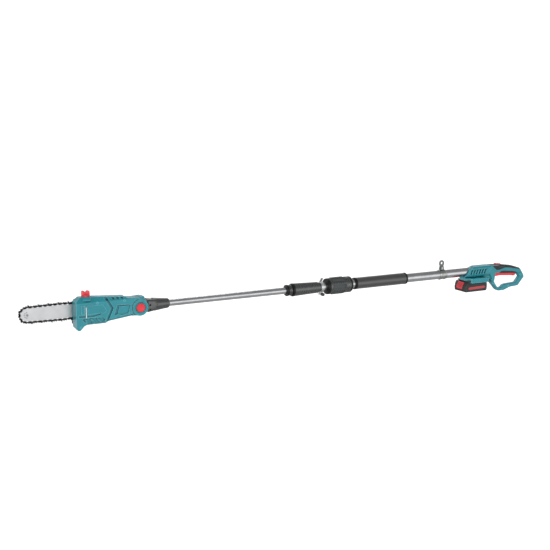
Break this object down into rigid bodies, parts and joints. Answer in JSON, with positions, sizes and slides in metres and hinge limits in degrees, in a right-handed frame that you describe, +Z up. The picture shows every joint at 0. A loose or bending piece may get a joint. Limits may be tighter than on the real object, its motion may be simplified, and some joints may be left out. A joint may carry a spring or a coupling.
{
  "type": "telescoping pole saw",
  "caption": "Cordless telescoping pole saw: tilting head with guide bar and chain, sliding tubes with clamp and twist collar, foam grip, D-handle with trigger, slide-on battery.",
  "frame": {"origin": "on the pole axis, in the middle of the bare lower tube between the foam grip and the strap bracket", "axes": "+X along the pole towards the D-handle, -X towards the saw head, +Z up through the strap eyelet and the oil cap, +Y the side the guide bar hangs on"},
  "size_m": [2.083, 0.077, 0.1613],
  "materials": {
    "teal_plastic": "moulded, lightly textured",
    "aluminium_tube": "satin anodised",
    "black_foam": "closed-cell foam",
    "black_plastic": "moulded, lightly textured",
    "dark_grey_plastic": "moulded, lightly textured",
    "red_plastic": "smooth moulded",
    "zinc_plated_steel": "zinc plated",
    "clamp_lever_metal": "pressed steel",
    "spring_steel": "drawn wire",
    "black_cable": "extruded sheath",
    "circuit_board": "lacquered laminate",
    "cell_wrap": "shrink wrap",
    "bar_steel": "ground",
    "blackened_steel": "oiled",
    "machined_steel": "machined",
    "milky_plastic": "translucent moulded",
    "clear_window": "clear moulded"
  },
  "bodies": {
    "handle": {"lower_tube": "aluminium_tube", "foam_grip": "black_foam", "strap_bracket": "zinc_plated_steel", "strap_bracket_bolt": "zinc_plated_steel", "rear_housing_near": "teal_plastic", "rear_housing_far": "teal_plastic", "rear_housing_screws": "zinc_plated_steel", "grip_overmould": "black_plastic", "power_switch": "black_plastic", "control_board": "circuit_board", "battery_terminals": "zinc_plated_steel", "coiled_lead": "black_cable", "collet": "black_plastic", "trigger_pin": "zinc_plated_steel", "trigger_spring": "spring_steel", "lock_off_spring": "spring_steel"},
    "collar": {"twist_collar": "black_plastic"},
    "trigger": {"trigger": "red_plastic"},
    "lock_off": {"lock_off_button": "red_plastic"},
    "battery": {"battery_case_lower": "black_plastic", "battery_case_upper": "black_plastic", "battery_cells": "cell_wrap", "battery_latch_spring": "spring_steel"},
    "battery_latch": {"battery_latch": "red_plastic"},
    "middle_pole": {"middle_tube": "aluminium_tube", "guide_sleeve": "black_plastic", "clamp_band": "zinc_plated_steel", "clamp_bolt": "zinc_plated_steel", "clamp_knob": "black_plastic"},
    "clamp_lever": {"clamp_lever": "clamp_lever_metal"},
    "upper_pole": {"upper_tube": "aluminium_tube", "neck_near": "dark_grey_plastic", "neck_far": "dark_grey_plastic", "neck_screws": "zinc_plated_steel", "motor_lead": "black_cable", "detent_ring": "machined_steel"},
    "head": {"head_housing_near": "teal_plastic", "head_housing_far": "teal_plastic", "head_screws": "zinc_plated_steel", "pivot_bolt": "zinc_plated_steel", "lock_spring": "spring_steel", "motor_case": "machined_steel", "shaft_bearings": "machined_steel", "oil_tank": "milky_plastic", "oil_window": "clear_window", "guide_bar": "bar_steel", "bar_studs": "zinc_plated_steel", "sprocket_cover": "black_plastic", "chain_drive_links": "blackened_steel", "chain_tie_straps": "blackened_steel", "chain_cutters": "blackened_steel"},
    "lock_button": {"lock_button": "red_plastic"},
    "oil_cap": {"oil_cap": "red_plastic"},
    "rotor": {"motor_rotor": "machined_steel", "bevel_pinion": "machined_steel"},
    "drive": {"drive_shaft": "machined_steel", "bevel_gear": "machined_steel", "chain_sprocket": "machined_steel"},
    "nose_sprocket": {"nose_sprocket": "bar_steel"},
    "tension_screw": {"tension_screw": "zinc_plated_steel"}
  },
  "joints": [
    {"name": "collar_turn", "type": "hinge", "parent": "handle", "child": "collar", "pos_m": [-0.378, 0, 0], "axis": [1, 0, 0], "range_deg": [0, 120]},
    {"name": "middle_slide", "type": "slide", "parent": "handle", "child": "middle_pole", "axis": [-1, 0, 0], "range_m": [0, 0.35], "deforming": ["coiled_lead"]},
    {"name": "upper_slide", "type": "slide", "parent": "middle_pole", "child": "upper_pole", "axis": [1, 0, 0], "range_m": [0, 0.4], "deforming": ["coiled_lead"]},
    {"name": "clamp_lever_swing", "type": "hinge", "parent": "middle_pole", "child": "clamp_lever", "pos_m": [-0.454, 0.01205, -0.02605], "axis": [-1, 0, 0], "range_deg": [0, 100]},
    {"name": "head_tilt", "type": "hinge", "parent": "upper_pole", "child": "head", "pos_m": [-1.172, 0, 0], "axis": [0, -1, 0], "range_deg": [0, 30], "deforming": ["motor_lead"]},
    {"name": "lock_button_press", "type": "slide", "parent": "head", "child": "lock_button", "axis": [0, 1, 0], "range_m": [0, 0.005], "stiffness_N_per_m": 600, "springref_m": -0.004, "deforming": ["lock_spring"]},
    {"name": "oil_cap_turn", "type": "hinge", "parent": "head", "child": "oil_cap", "pos_m": [-1.355, -0.01, 0.055], "axis": [0, 0, 1], "range_deg": [0, 90]},
    {"name": "drive_spin", "type": "hinge", "parent": "head", "child": "drive", "pos_m": [-1.298, 0, 0.003], "axis": [0, 1, 0], "continuous": true},
    {"name": "motor_spin", "type": "hinge", "parent": "head", "child": "rotor", "pos_m": [-1.298, -0.008, 0.003], "axis": [1, 0, 0], "continuous": true},
    {"name": "nose_spin", "type": "hinge", "parent": "head", "child": "nose_sprocket", "pos_m": [-1.543, 0.018, 0.003], "axis": [0, 1, 0], "continuous": true},
    {"name": "tension_turn", "type": "hinge", "parent": "head", "child": "tension_screw", "pos_m": [-1.394, 0.0068, -0.028], "axis": [1, 0, 0], "range_deg": [0, 360]},
    {"name": "trigger_pull", "type": "hinge", "parent": "handle", "child": "trigger", "pos_m": [0.454, 0, -0.0145], "axis": [0, 1, 0], "range_deg": [0, 3], "stiffness_Nm_per_rad": 3, "springref_deg": -2.86, "deforming": ["trigger_spring"]},
    {"name": "lock_off_press", "type": "slide", "parent": "handle", "child": "lock_off", "axis": [0, 0, -1], "range_m": [0, 0.003], "stiffness_N_per_m": 500, "springref_m": -0.004, "deforming": ["lock_off_spring"]},
    {"name": "battery_slide", "type": "slide", "parent": "handle", "child": "battery", "axis": [-1, 0, 0], "range_m": [0, 0.09]},
    {"name": "battery_latch_press", "type": "slide", "parent": "battery", "child": "battery_latch", "axis": [1, 0, 0], "range_m": [0, 0.003], "stiffness_N_per_m": 500, "springref_m": -0.004, "deforming": ["battery_latch_spring"]}
  ],
  "couplings": [
    {"joint": "motor_spin", "follows": "drive_spin", "ratio": -3},
    {"joint": "nose_spin", "follows": "drive_spin", "ratio": 0.77778}
  ]
}
